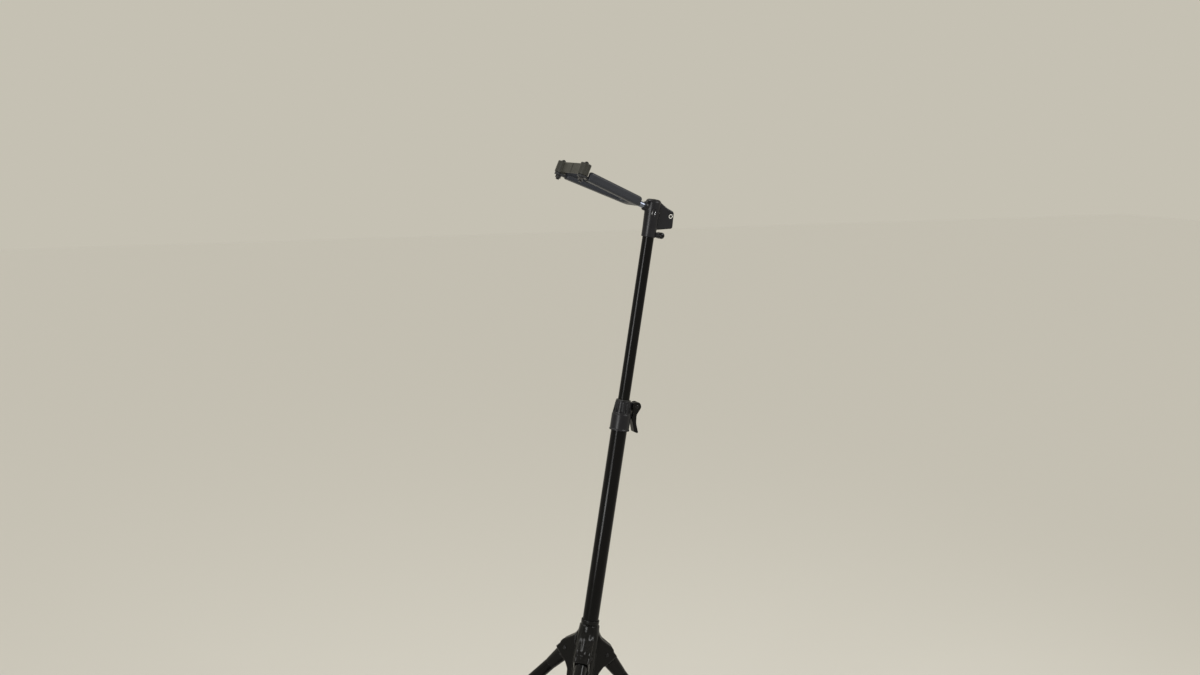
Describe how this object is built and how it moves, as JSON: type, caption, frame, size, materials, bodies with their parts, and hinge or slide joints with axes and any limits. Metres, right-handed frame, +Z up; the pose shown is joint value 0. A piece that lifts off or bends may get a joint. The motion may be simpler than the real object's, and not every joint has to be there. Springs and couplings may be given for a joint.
{
  "type": "guitar stand",
  "caption": "Folding tripod floor stand for a guitar: telescopic leaning mast with a cam clutch, a padded cradle at its foot and a yoke closed by swinging gates at its top.",
  "frame": {"origin": "on the floor, under the middle of the stand's bounding box", "axes": "+Z up; -Y is the front, where the yoke and the cradle reach forward; +X is the right-hand side as seen from the front, and the plane x = 0 is the mirror plane"},
  "size_m": [0.587, 0.5284, 1.0729],
  "materials": {
    "gloss_tube": "glossy black powder coat",
    "gloss_moulding": "glossy black moulding",
    "satin_moulding": "satin black moulding",
    "rubber": "soft black rubber",
    "yoke_rubber": "dark blue-grey satin rubber",
    "nylon": "dark nylon",
    "grey_steel": "blue-grey plated steel",
    "zinc": "bright zinc plate",
    "dark_steel": "blackened steel",
    "black_rod": "black powder coat",
    "olive_moulding": "matt dark olive grey"
  },
  "bodies": {
    "base": {"lower_tube": "gloss_tube", "tube_end_plug": "gloss_moulding", "leg_hub": "gloss_moulding", "leg_pin_rear": "dark_steel", "leg_pin_left": "dark_steel", "leg_pin_right": "dark_steel", "cradle_block": "gloss_moulding", "cradle_bolt": "zinc", "cradle_bolt_nut": "zinc", "cradle_pin_left": "zinc", "cradle_pin_right": "zinc", "clutch_body": "satin_moulding", "clutch_lever_pin": "zinc"},
    "leg_rear": {"leg_knuckle_rear": "satin_moulding", "leg_tube_rear": "gloss_tube", "leg_foot_rear": "rubber"},
    "leg_left": {"leg_knuckle_left": "satin_moulding", "leg_tube_left": "gloss_tube", "leg_foot_left": "rubber"},
    "leg_right": {"leg_knuckle_right": "satin_moulding", "leg_tube_right": "gloss_tube", "leg_foot_right": "rubber"},
    "cradle_left": {"cradle_arm_left": "black_rod", "cradle_pad_left": "rubber"},
    "cradle_right": {"cradle_arm_right": "black_rod", "cradle_pad_right": "rubber"},
    "lever": {"clutch_lever": "satin_moulding"},
    "liner": {"clutch_liner": "nylon"},
    "upper_mast": {"upper_tube": "gloss_tube", "guide_bush": "nylon", "head_body": "satin_moulding", "head_clamp_screw": "zinc", "head_clamp_nut": "zinc", "head_eyelet": "zinc", "yoke_frame": "grey_steel", "yoke_cover": "yoke_rubber", "gate_pin_left": "dark_steel", "gate_pin_right": "dark_steel", "gate_nut_left": "dark_steel", "gate_nut_right": "dark_steel", "gate_spring_left": "zinc", "gate_spring_right": "zinc"},
    "gate_arm_left": {"gate_left": "olive_moulding"},
    "gate_arm_right": {"gate_right": "olive_moulding"}
  },
  "joints": [
    {"name": "leg_fold_rear", "type": "hinge", "parent": "base", "child": "leg_rear", "pos_m": [0, 0.03419, 0.30081], "axis": [-1, 0, 0], "range_deg": [0, 45]},
    {"name": "leg_fold_left", "type": "hinge", "parent": "base", "child": "leg_left", "pos_m": [-0.02754, -0.0129, 0.30843], "axis": [0.5, -0.8549, 0.1385], "range_deg": [0, 41]},
    {"name": "leg_fold_right", "type": "hinge", "parent": "base", "child": "leg_right", "pos_m": [0.02754, -0.0129, 0.30843], "axis": [0.5, 0.8549, -0.1385], "range_deg": [0, 41]},
    {"name": "cradle_fold_left", "type": "hinge", "parent": "base", "child": "cradle_left", "pos_m": [-0.02, -0.07557, 0.07222], "axis": [-1, 0, 0], "range_deg": [0, 70]},
    {"name": "cradle_fold_right", "type": "hinge", "parent": "base", "child": "cradle_right", "pos_m": [0.02, -0.07557, 0.07222], "axis": [-1, 0, 0], "range_deg": [0, 70]},
    {"name": "lever_cam", "type": "hinge", "parent": "base", "child": "lever", "pos_m": [0, 0.08712, 0.69268], "axis": [1, 0, 0], "range_deg": [0, 95]},
    {"name": "mast_turn", "type": "hinge", "parent": "base", "child": "liner", "pos_m": [0, 0.05968, 0.65712], "axis": [0, 0.1599, 0.9871], "continuous": true},
    {"name": "mast_slide", "type": "slide", "parent": "liner", "child": "upper_mast", "axis": [0, 0.1599, 0.9871], "range_m": [-0.24, 0.22]},
    {"name": "gate_swing_left", "type": "hinge", "parent": "upper_mast", "child": "gate_arm_left", "pos_m": [-0.045, -0.01934, 1.05512], "axis": [0, 0.3939, 0.9191], "range_deg": [0, 70], "stiffness_Nm_per_rad": 0.02, "springref_deg": -28.65},
    {"name": "gate_swing_right", "type": "hinge", "parent": "upper_mast", "child": "gate_arm_right", "pos_m": [0.045, -0.01934, 1.05512], "axis": [0, -0.3939, -0.9191], "range_deg": [0, 70], "stiffness_Nm_per_rad": 0.02, "springref_deg": -28.65}
  ]
}
